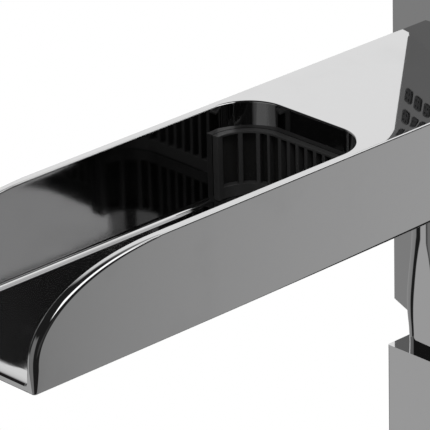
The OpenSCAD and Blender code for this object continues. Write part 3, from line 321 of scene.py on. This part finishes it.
def chrome(name, tone=CHROME_TONE, smudge=0.035, shine=0.022, waves=0.02, roll=None):
    """Polished chrome plate: a grey mirror with a faint haze, finger marks and polishing waves.
    A roll is the half width, reach, depth and lowest level of the edge that the buffing wheel
    takes off a flat top: the surface sinks by depth * t^2.5, t from 0 to 1 over the reach."""
    material, n, place = new_finish(name)
    haze = n.noise(place, scale=26.0, detail=5.0)
    marks = n.noise(place, scale=90.0, detail=3.0, Distortion=0.6)
    grain = n.noise(place, scale=420.0, detail=2.0)
    worn = n.smooth(haze, low=0.50, high=0.72)
    plate = n.blend(worn * 0.6 + grain * 0.2, tone, dimmed(tone, CHROME_WEAR_AND_SHADE_SHARE))
    rough = shine + smudge * worn * n.smooth(marks, low=0.42, high=0.66) + 0.012 * grain
    normal = n.bump(strength=waves, distance=0.0004, height=haze)
    if roll:
        half, reach, depth, above = roll
        across = n.add("ShaderNodeSeparateXYZ", {}, {"Vector": place}, "X")
        on_top = across.twin("Z") > above
        t = n.add("ShaderNodeMapRange", {},
                  {"Value": abs(across), "From Min": half - reach, "From Max": half})
        normal = n.bump(strength=1.0, distance=1.0, height=t ** 2.5 * on_top * -depth,
                        Normal=normal)
    n.surface({"Base Color": plate, "Metallic": 1.0, "Roughness": rough, "Normal": normal})
    return material


chrome_plate = chrome("chrome_plate")
neck_depth = np.linspace(0, NECK_HEIGHT, NECK_ROWS)
neck_wide, neck_flat = through_stations(NECK_STATIONS, neck_depth).T[1:, :, None]
neck_flat = np.maximum(neck_flat, NECK_LEAST_FLAT)
half_turn = np.radians(np.linspace(-90, 90, NECK_SIDE_COLUMNS))
turn = np.concatenate([half_turn, half_turn + np.pi])
side = np.repeat((1.0, -1.0), NECK_SIDE_COLUMNS)
neck_x = side * neck_flat + (neck_wide - neck_flat) * np.cos(turn)
neck_y = NECK_HALF_DEPTH * np.sin(turn) + 0 * neck_x
neck_z = NECK_TOP - neck_depth[:, None] + 0 * neck_x
neck = ringed_piece("neck_post", np.stack([neck_x, neck_y, neck_z], -1), caps=((0, 1), (-1, -1)))
neck.data.materials.append(chrome_plate)
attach(neck, "stand")
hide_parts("neck")


# Column, mixer bar, handles, dock and wand.
# Drawn square tube, castings and turned knobs, all of brass and plated like the neck. Their
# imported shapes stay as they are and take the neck's finish.
def dress(material, *names):
    """Gives CAD nodes a finish in their own material slots."""
    for name in names:
        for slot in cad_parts[name].material_slots:
            slot.material = material


dress(chrome_plate, "floor_cover", "column_lower", "column_upper", "mixer_body", "hot_bonnet",
      "cold_bonnet", "diverter_bonnet", "hot_handle", "cold_handle", "diverter_knob",
      "hose_outlet", "spout_end_cap", "dock_arm", "dock_sleeve", "wand_body", "wand_face")


# Spout.
# One chrome-plated brass casting: a square bar with an open trough whose side walls fall in a
# long curve to the outlet, polished by hand so that each edge has its own soft round. Behind
# the comb the casting is left raw, and its near-black colour there is painted shade.
SPOUT_HALF = 0.037
SPOUT_INNER = 0.0334
SPOUT_UNDER = NECK_TOP
SPOUT_TOP = 0.899
SPOUT_FRONT = -0.2445
SPOUT_REAR = 0.027
BAR_ROUND = 0.0007
# the lower edges' round: its start, what it gains to the rear, and where it dies out at the cap
UNDER_ROUND = 0.0004
UNDER_GROWTH = 0.0028
UNDER_GROWTH_POWER = 1.6
UNDER_GROWTH_FROM = -0.16
UNDER_GROWTH_RUN = 0.17
CAP_GAP = 0.002
CAP_RUN = 0.014
TROUGH_FLOOR = 0.8615
TROUGH_BACK = -0.071
TROUGH_CORNER = 0.017
TROUGH_FILLET = 0.002
CHEEK_RUN = 0.062
CHEEK_START = 0.867
CHEEK_POWER = 2.15
OUTLET_ROUND = 0.0026
OUTLET_ROUND_POWER = 0.6
OUTLET_FOOT_ROUND = 0.0009
OUTLET_FOOT_POWER = 0.7
RIM_INNER_ROUND = 0.0007
LIP_RUN = 0.007
LIP_DROP = 0.0015
SEAT_SHARE = 0.30
SEAT_TOP = 0.888
OUTER_COLUMNS = 11
INNER_COLUMNS = 7
FILLET_COLUMNS = 10
FLOOR_COLUMNS = 17
SKIRT_ROWS = 7
# points nearer than this are one, when an outline is cleaned and when a mesh is closed, and a
# shorter edge than the last is taken out
SAME_PLACE = 1e-8
MERGE_REACH = 2e-6
LEAST_EDGE = 1e-7
# the cheek curve's slope is taken this far from its ends, where it has none
CURVE_END = 1e-4
# the softer polish, its plate darkened a little as painted shade, reaches this far past the walls,
# above the underside, below the top and behind the front, and the raw part, painted near black as
# shade, starts this far above the floor
POLISH_PAST_WALL = 5e-5
POLISH_ABOVE_UNDER = 0.002
POLISH_BELOW_TOP = 0.0008
POLISH_BEHIND_FRONT = 0.001
RAW_SHADE_ABOVE_FLOOR = 3e-6
# the top's rolled edge, as the reach, the depth and the lowest level that it touches
ROLL_REACH = 0.0065
ROLL_DEPTH = 0.00005
ROLL_ABOVE = SPOUT_TOP - 0.0004
# near-black colour of the raw casting behind the comb: painted shade, not the metal's own tone
BEHIND_COMB_SHADE_TONE = (0.006, 0.006, 0.006)
BEHIND_COMB_SHADE_PALER = (0.012, 0.012, 0.011)
MIRROR = np.array((-1, 1, 1))


def steps(start, end, count):
    """Even steps from start to end, without the start."""
    return np.linspace(start, end, count + 1)[1:]


def under_round(y):
    """The round of the lower edges at y: a least round, plus the growth times s^1.6 with s from 0
    to 1 along the growth's run, times a share that falls from 1 to 0 just before the cap."""
    share = np.clip((y - UNDER_GROWTH_FROM) / UNDER_GROWTH_RUN, 0, 1)
    before_cap = np.clip((SPOUT_REAR - CAP_GAP - y) / CAP_RUN, 0, 1)
    return UNDER_ROUND + UNDER_GROWTH * share ** UNDER_GROWTH_POWER * before_cap


def spout_skin():
    """The spout's skin as grids, each a row-by-column array of points: four for its right half,
    and the trough's floor from side to side.

    The wall's rows follow the rim: up the outlet's corner, up the cheek curve, along the
    straight rim, round the trough's back corner and along its back wall. Its columns cross the
    wall: outer side, outer round, rim, inner round, inner side, fillet. It comes in two grids,
    because below the lip the outlet's end face takes the place of the fillet. The cheek curve
    is a superellipse: its run back is 1 - cos^q a of the whole and its height sin^q a, with
    q = 2 / power. A round leaves the rim by w (1 - sin f) across and h (1 - cos f) along the
    rim's inward normal, for f from a quarter turn to 0. The last two grids are the end face
    and the skirt, which is the plan outline drawn in by a quarter round."""
    q = 2 / CHEEK_POWER
    foot = np.linspace(SPOUT_UNDER + UNDER_ROUND, TROUGH_FLOOR - LIP_DROP + TROUGH_FILLET, 5)
    lip = steps(0, 1, count=12)
    cheek = np.radians(np.concatenate([
        steps(0, 12, count=14), steps(12, 78, count=60), steps(78, 90, count=14)]))
    straight = steps(SPOUT_FRONT + CHEEK_RUN, TROUGH_BACK - TROUGH_CORNER, count=24)
    corner = np.radians(steps(0, 90, count=32))
    back = steps(1, 0, count=FLOOR_COLUMNS // 2)
    parts = np.cumsum([0, len(foot), len(lip), len(cheek), len(straight), len(corner), len(back)])
    on_foot, on_lip, on_cheek, on_straight, on_corner, on_back = (
        slice(parts[i], parts[i + 1]) for i in range(6))
    rows = parts[-1]
    foot_top = parts[1] - 1

    # the rim in side view, its inward normal, and how much of the cheek's run is still ahead
    rim_y, rim_z = np.zeros(rows), np.full(rows, SPOUT_TOP)
    rim_y[:parts[2]] = SPOUT_FRONT
    rim_z[on_foot] = foot
    rim_z[on_lip] = foot[-1] + (CHEEK_START - foot[-1]) * lip
    ahead = np.ones(rows)
    ahead[on_cheek] = np.clip(np.cos(cheek), 0, 1) ** q
    ahead[parts[3]:] = 0
    rim_y[on_cheek] = SPOUT_FRONT + CHEEK_RUN * (1 - ahead[on_cheek])
    rim_z[on_cheek] = CHEEK_START + (SPOUT_TOP - CHEEK_START) * np.sin(cheek) ** q
    rim_y[on_straight] = straight
    rim_y[parts[4]:] = TROUGH_BACK
    a = np.clip(cheek, CURVE_END, np.pi / 2 - CURVE_END)
    go_y = CHEEK_RUN * np.cos(a) ** (q - 1) * np.sin(a)
    go_z = (SPOUT_TOP - CHEEK_START) * np.sin(a) ** (q - 1) * np.cos(a)
    inward = np.tile((0.0, -1.0), (rows, 1))
    inward[:parts[2]] = (1.0, 0.0)
    inward[on_cheek] = np.stack([go_z, -go_y], -1) / np.hypot(go_y, go_z)[:, None]

    # the wall's outer and inner lines in plan, and the plan direction out of the trough
    outer = np.stack([np.full(rows, SPOUT_HALF), rim_y], -1)
    inner = np.stack([np.full(rows, SPOUT_INNER), rim_y], -1)
    away = np.tile((1.0, 0.0), (rows, 1))
    bend = np.array((SPOUT_INNER - TROUGH_CORNER, TROUGH_BACK - TROUGH_CORNER))
    away[on_corner] = np.stack([np.cos(corner), np.sin(corner)], -1)
    away[on_back] = (0.0, 1.0)
    inner[on_corner] = bend + TROUGH_CORNER * away[on_corner]
    inner[on_back, 0] = bend[0] * back
    outer[on_corner, 1] = bend[1] + (SPOUT_REAR - bend[1]) * corner / corner[-1]
    outer[on_back, 0] = SPOUT_HALF * back
    outer[on_back, 1] = SPOUT_REAR

    # each row's line across the wall
    outer_round = BAR_ROUND + (OUTLET_ROUND - BAR_ROUND) * ahead ** OUTLET_ROUND_POWER
    up = np.clip((rim_z[:parts[2]] - SPOUT_UNDER) / (CHEEK_START - SPOUT_UNDER), 0, 1)
    outer_round[:parts[2]] = (
        OUTLET_FOOT_ROUND + (OUTLET_ROUND - OUTLET_FOOT_ROUND) * up ** OUTLET_FOOT_POWER)
    outer_round[on_back] = 0
    inner_round = np.full(rows, RIM_INNER_ROUND)
    inner_round[on_foot] = 0
    inner_round[on_lip] *= lip
    f = np.linspace(np.pi / 2, 0, OUTER_COLUMNS)
    sink = outer_round[:, None] * (1 - np.cos(f))
    round_out = np.stack([
        outer[:, :1] - (outer_round[:, None] * (1 - np.sin(f))),
        outer[:, 1:] + inward[:, :1] * sink, rim_z[:, None] + inward[:, 1:] * sink], -1)
    f = np.linspace(0, np.pi / 2, INNER_COLUMNS)
    sink = inner_round[:, None] * (1 - np.cos(f))
    spread = inner_round[:, None] * (1 - np.sin(f))
    round_in = np.stack([
        inner[:, :1] + away[:, :1] * spread,
        inner[:, 1:] + away[:, 1:] * spread + inward[:, :1] * sink,
        rim_z[:, None] + inward[:, 1:] * sink], -1)

    # where the wall's outer side meets the skirt and its inner side meets the fillet
    length = np.concatenate([[0], np.cumsum(np.hypot(np.diff(rim_y), np.diff(rim_z)))])
    along = length[:parts[4]] / length[parts[4] - 1]
    low_out = np.stack([outer[:, 0], outer[:, 1], np.zeros(rows)], -1)
    side_front = SPOUT_FRONT + OUTLET_ROUND
    low_out[:parts[4], 1] = side_front + (bend[1] - side_front) * along
    low_out[:, 2] = SPOUT_UNDER + under_round(low_out[:, 1])
    low = inner.copy()
    low[on_foot, 1] = SPOUT_FRONT
    low[on_lip, 1] = SPOUT_FRONT + LIP_RUN * (1 - np.cos(np.pi / 2 * lip))
    cheek_share = (rim_y[on_cheek] - SPOUT_FRONT) / CHEEK_RUN
    low[on_cheek, 1] = SPOUT_FRONT + LIP_RUN + (CHEEK_RUN - LIP_RUN) * cheek_share
    floor_z = np.full(rows, TROUGH_FLOOR)
    floor_z[on_foot] = TROUGH_FLOOR - LIP_DROP
    floor_z[on_lip] = TROUGH_FLOOR - LIP_DROP * (1 - np.sin(np.pi / 2 * lip))
    f = np.linspace(0, np.pi / 2, FILLET_COLUMNS)
    spread = TROUGH_FILLET * (1 - np.cos(f))
    fillet = np.stack([
        low[:, :1] - away[:, :1] * spread, low[:, 1:] - away[:, 1:] * spread,
        floor_z[:, None] + TROUGH_FILLET * (1 - np.sin(f)) + 0 * low[:, :1]], -1)
    fillet[:foot_top] = round_in[:foot_top, -1:]
    seat = round_in[:, -1:] + (fillet[:, :1] - round_in[:, -1:]) * SEAT_SHARE
    wall = np.concatenate([low_out[:, None], round_out, round_in, seat, fillet], 1)

    # the trough's floor, and the end face below the lip down to the foot of the casting
    share = np.linspace(1, -1, FLOOR_COLUMNS)
    edge = fillet[foot_top:parts[5], -1]
    floor = np.stack([edge[:, :1] * share, edge[:, 1:2] + 0 * share, edge[:, 2:] + 0 * share], -1)
    face = np.concatenate([fillet[foot_top], floor[0, 1:FLOOR_COLUMNS // 2 + 1]])
    face = np.repeat(face[None], len(foot), 0)
    level = (foot - foot[0]) / (foot[-1] - foot[0])
    face[..., 2] = foot[0] + (face[..., 2] - foot[0]) * level[:, None]

    # the skirt: the plan outline from the rear's middle round to the front's middle, each point
    # drawn in along its own normal, straight to the side at the rear corner
    half = np.concatenate([low_out[::-1], wall[0, 1:-FILLET_COLUMNS], face[0]])
    half = half[np.r_[True, np.linalg.norm(np.diff(half, axis=0), axis=1) > SAME_PLACE]]
    normal = np.gradient(half, axis=0)[:, :2] @ np.array(((0, 1), (-1, 0)))
    normal /= np.maximum(np.hypot(*normal.T), SAME_PLACE)[:, None]
    normal[half[:, 1] > SPOUT_REAR - SAME_PLACE] = (0.0, 0.0)
    normal[len(back)] = (1.0, 0.0)
    normal[-1] = (0.0, -1.0)
    f = np.linspace(np.pi / 2, 0, SKIRT_ROWS)[:, None]
    edge_round = under_round(half[:, 1])
    shrink = edge_round * (1 - np.sin(f))
    skirt = np.stack([half[:, 0] - normal[:, 0] * shrink, half[:, 1] - normal[:, 1] * shrink,
                      SPOUT_UNDER + edge_round * (1 - np.cos(f))], -1)
    return [wall[:parts[1], :-FILLET_COLUMNS], wall[foot_top:], face, skirt], floor


def cells(index):
    """The four corners of each cell of a grid of point numbers, in turn round the cell."""
    return np.stack([index[:-1, :-1], index[1:, :-1], index[1:, 1:], index[:-1, 1:]], -1)


def gathered(grids, lid):
    """The points and faces of several grids, and of a lid: a flat ring that one face closes."""
    faces, count = [], 0
    for grid in grids:
        rows, cols = grid.shape[:2]
        index = count + np.arange(rows * cols).reshape(rows, cols)
        faces += cells(index).reshape(-1, 4).tolist()
        count += rows * cols
    faces.append(list(range(count, count + len(lid))))
    return np.concatenate([grid.reshape(-1, 3) for grid in grids] + [lid]), faces


def closed_piece(name, points, faces):
    """One closed mesh: points that meet are merged and faces turned outward. Its shading leans
    on the large faces, so that flats stay flat beside their rounds."""
    mesh = bpy.data.meshes.new(name)
    mesh.from_pydata(points.tolist(), [], faces)
    shape = bmesh.new()
    shape.from_mesh(mesh)
    bmesh.ops.remove_doubles(shape, verts=shape.verts, dist=MERGE_REACH)
    bmesh.ops.dissolve_degenerate(shape, edges=shape.edges, dist=LEAST_EDGE)
    bmesh.ops.recalc_face_normals(shape, faces=shape.faces)
    shape.to_mesh(mesh)
    shape.free()
    piece = shown(name, mesh, crease=28.0)
    even = piece.modifiers.new("even_shading", "WEIGHTED_NORMAL")
    even.mode = "FACE_AREA"
    even.weight = 100
    even.keep_sharp = True
    return piece


right, trough_floor = spout_skin()
hem = right[-1][-1]
under = np.concatenate([hem, hem[-2:0:-1] * MIRROR])
under = under[np.linalg.norm(under - np.roll(under, 1, 0), axis=1) > MERGE_REACH]
spout = closed_piece("spout_casting", *gathered(
    right + [grid * MIRROR for grid in right] + [trough_floor], under))

spout_plate = chrome("spout_plate", roll=(SPOUT_HALF, ROLL_REACH, ROLL_DEPTH, ROLL_ABOVE))
# the trough's plate is a little darker than the outside, which is painted shade; its softer polish
# and waves are real
trough_plate_painted_shade = chrome("trough_plate_painted_shade", dimmed(CHROME_TONE, CHROME_WEAR_AND_SHADE_SHARE), smudge=0.05,
                      shine=0.047, waves=0.08)
# the casting behind the comb: its sand bump and roughness are raw metal, its near-black colour is
# painted shade
raw_casting_painted_shade, n, place = new_finish("raw_casting_painted_shade")
sand = n.noise(place, scale=1400.0, detail=4.0)
n.surface({"Base Color": n.blend(sand, BEHIND_COMB_SHADE_TONE, BEHIND_COMB_SHADE_PALER), "Roughness": 0.8,
           "Normal": n.bump(strength=0.5, distance=0.0002, height=sand)})
for finish in (spout_plate, trough_plate_painted_shade, raw_casting_painted_shade):
    spout.data.materials.append(finish)

# inside the trough the polish is softer and the plate a little darker as painted shade; behind the
# comb the casting is raw, painted near black as shade
middles = np.empty(3 * len(spout.data.polygons), np.float32)
spout.data.polygons.foreach_get("center", middles)
x, y, z = middles.reshape(-1, 3).T.astype(float)
in_trough = ((abs(x) < SPOUT_INNER + POLISH_PAST_WALL) & (y < TROUGH_BACK + POLISH_PAST_WALL)
             & (z > SPOUT_UNDER + POLISH_ABOVE_UNDER) & (z < SPOUT_TOP - POLISH_BELOW_TOP))
# the faces behind the comb, which take the painted shade
behind_comb = ((y > TROUGH_BACK - TROUGH_CORNER)
               & (z > TROUGH_FLOOR + RAW_SHADE_ABOVE_FLOOR) & (z < SEAT_TOP))
past_lip = y > SPOUT_FRONT + POLISH_BEHIND_FRONT
finishes = in_trough * np.where(behind_comb, 2, past_lip)
spout.data.polygons.foreach_set("material_index", finishes.astype(np.int32))
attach(spout, "stand")
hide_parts("spout_body")


# Comb and dock liner.
# The slotted comb at the back of the trough is one black plastic moulding: a low rail and a thin
# top rail joined by upright ribs, wide apart in the corners. The dock's liner is the same plastic.
COMB_THICK = 0.003
COMB_GAP = 0.0001
COMB_FRONT = -0.0902
COMB_SOFTENING = 0.0004
# levels of the comb's foot, slot ends and top
COMB_LEVELS = np.array((0.86155, 0.8664, 0.8870, SEAT_TOP))
# degrees from the side wall to the back wall where slots start and end, the last one open
CORNER_STOPS = np.array((0, 1.5, 29.3, 36.2, 56.5, 63.0, 74.8, 79.5, 90))
CORNER_STEP = 3.0
RIB_PITCH = 0.00465
RIB_HALF = 0.0008
RIBS_BESIDE_MIDDLE = 3

# every second stretch of the corner is a slot, and so is every gap between the straight ribs
stretch_points = np.maximum(2, (np.diff(CORNER_STOPS) / CORNER_STEP).astype(int))
comb_turns = np.radians(np.concatenate([
    np.linspace(start, end, count, endpoint=False)
    for start, end, count in zip(CORNER_STOPS, CORNER_STOPS[1:], stretch_points)]))
rib_middles = RIB_PITCH * np.arange(-RIBS_BESIDE_MIDDLE, 1)
comb_ribs = np.stack([rib_middles - RIB_HALF, rib_middles + RIB_HALF], -1).ravel()[:-1]
half_slots = np.concatenate([
    [False], np.repeat(np.arange(len(stretch_points)) % 2 == 1, stretch_points),
    np.arange(len(comb_ribs)) % 2 == 1])
comb_slots = np.concatenate([half_slots, half_slots[-2::-1]])


def moulded(name, tone, rough, grain_scale):
    """Moulded plastic or rubber: an even colour with a fine pebble and slightly varied gloss."""
    material, n, place = new_finish(name)
    pebble = n.noise(place, scale=grain_scale, detail=4.0, Roughness=0.6)
    cloud = n.noise(place, scale=60.0, detail=2.0)
    n.surface({"Base Color": n.blend(cloud, tone, dimmed(tone, 1.25)),
               "Roughness": rough + 0.12 * cloud,
               "Normal": n.bump(strength=0.15, distance=0.0001, height=pebble)})
    return material


def comb_plan(depth):
    """The comb's plan line that lies at a depth in front of the trough's walls, from its left end
    to its right end. On a corner at angle a the points lie at radius r from its centre along
    (-cos a, sin a), where a is 0 at the side wall and a quarter turn at the back."""
    centre = np.array((TROUGH_CORNER - SPOUT_INNER, TROUGH_BACK - TROUGH_CORNER))
    radius = TROUGH_CORNER - depth
    corner = centre + radius * np.stack([-np.cos(comb_turns), np.sin(comb_turns)], -1)
    back = np.stack([comb_ribs, np.full(len(comb_ribs), centre[1] + radius)], -1)
    half = np.concatenate([[(corner[0, 0], COMB_FRONT)], corner, back])
    return np.concatenate([half, half[::-1] * MIRROR[:2]])


def slotted_strip(inner, outer, levels, is_slot):
    """Points and faces of an upright strip between two plan lines, with openings between its
    second and third levels. Each full cell has a front and a back quad, and a side quad toward
    each neighbour that is missing, so the strip is closed."""
    rows, cols = len(inner), len(levels)
    upright = np.broadcast_to(levels[:, None], (rows, cols, 1))
    sheets = [np.concatenate([np.repeat(line[:, None], cols, 1), upright], -1)
              for line in (inner, outer)]
    full = np.ones((rows - 1, cols - 1), bool)
    full[is_slot, 1] = False
    met = np.pad(full, 1)
    met = np.stack([met[1:-1, :-2], met[2:, 1:-1], met[1:-1, 2:], met[:-2, 1:-1]], -1)
    ring = cells(np.arange(rows * cols).reshape(rows, cols))
    bare = full[..., None] & ~met
    first, second = ring[bare], np.roll(ring, -1, -1)[bare]
    far = rows * cols
    faces = [ring[full], ring[full][:, ::-1] + far,
             np.stack([second, first, first + far, second + far], -1)]
    return np.concatenate(sheets).reshape(-1, 3), np.concatenate(faces).tolist()


comb = closed_piece("comb_moulding", *slotted_strip(
    comb_plan(COMB_THICK), comb_plan(COMB_GAP), COMB_LEVELS, comb_slots))
soft_edges = comb.modifiers.new("soft_edges", "BEVEL")
soft_edges.width = COMB_SOFTENING
soft_edges.segments = 3
soft_edges.limit_method = "ANGLE"
soft_edges.angle_limit = float(np.radians(40))
comb.modifiers.move(1, 0)
black_plastic = moulded("black_plastic", (0.028, 0.028, 0.028), rough=0.30, grain_scale=2200.0)
comb.data.materials.append(black_plastic)
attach(comb, "stand")
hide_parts("spout_comb")
dress(black_plastic, "spout_comb", "dock_liner")


# Rubber and valve plastic.
# The wand's spray pads and the neck's flat seals are moulded rubber. The three valve cartridges
# inside the mixer bar have pale plastic housings.
soft_rubber = moulded("soft_rubber", (0.046, 0.046, 0.047), rough=0.5, grain_scale=1500.0)
dress(soft_rubber, "wand_pads", "neck_seals")
valve_plastic = moulded("valve_plastic", (0.78, 0.77, 0.73), rough=0.38, grain_scale=900.0)
dress(valve_plastic, "hot_cartridge", "cold_cartridge", "diverter_cartridge")


# Hidden metalwork.
# Steel screws, pins and plates, brass spindles and fittings, drawn copper risers and the die-cast
# zinc foot. None of them is plated, and their grain runs the way each was drawn or turned.
def bare_metal(name, tone, rough, stretch, grain_scale):
    """Unplated metal: its grain is noise stretched along the way the piece was drawn or turned."""
    material, n, place = new_finish(name)
    along = n.add("ShaderNodeMapping", {}, {"Vector": place, "Scale": stretch})
    grain = n.noise(along, scale=grain_scale, detail=4.0)
    dull = n.smooth(n.noise(place, scale=45.0, detail=4.0), low=0.45, high=0.70)
    n.surface({"Base Color": n.blend(dull * 0.5 + grain * 0.3, tone, dimmed(tone, 0.7)),
               "Metallic": 1.0, "Roughness": rough + 0.15 * dull + 0.08 * grain,
               "Normal": n.bump(strength=0.12, distance=0.0001, height=grain)})
    return material


steel = bare_metal("steel", (0.56, 0.57, 0.58), rough=0.28, stretch=(1.0, 1.0, 8.0),
                   grain_scale=500.0)
brass = bare_metal("brass", (0.72, 0.56, 0.28), rough=0.30, stretch=(1.0, 1.0, 6.0),
                   grain_scale=400.0)
copper = bare_metal("copper_tube", (0.70, 0.40, 0.27), rough=0.26, stretch=(8.0, 8.0, 0.4),
                    grain_scale=300.0)
zinc = bare_metal("zinc_casting", (0.45, 0.45, 0.46), rough=0.48, stretch=(1.0, 1.0, 1.0),
                  grain_scale=900.0)
dress(steel, "floor_plate", "base_screws", "foot_screws", "arm_screws", "hot_handle_screw",
      "cold_handle_screw", "dock_pin", "pin_ring", "flow_plate")
dress(brass, "inlet_block", "hot_spindle", "cold_spindle", "diverter_stem", "neck_stud",
      "neck_nuts", "wand_inlet")
dress(copper, "hot_riser", "cold_riser", "feed_pipe")
dress(zinc, "column_foot")
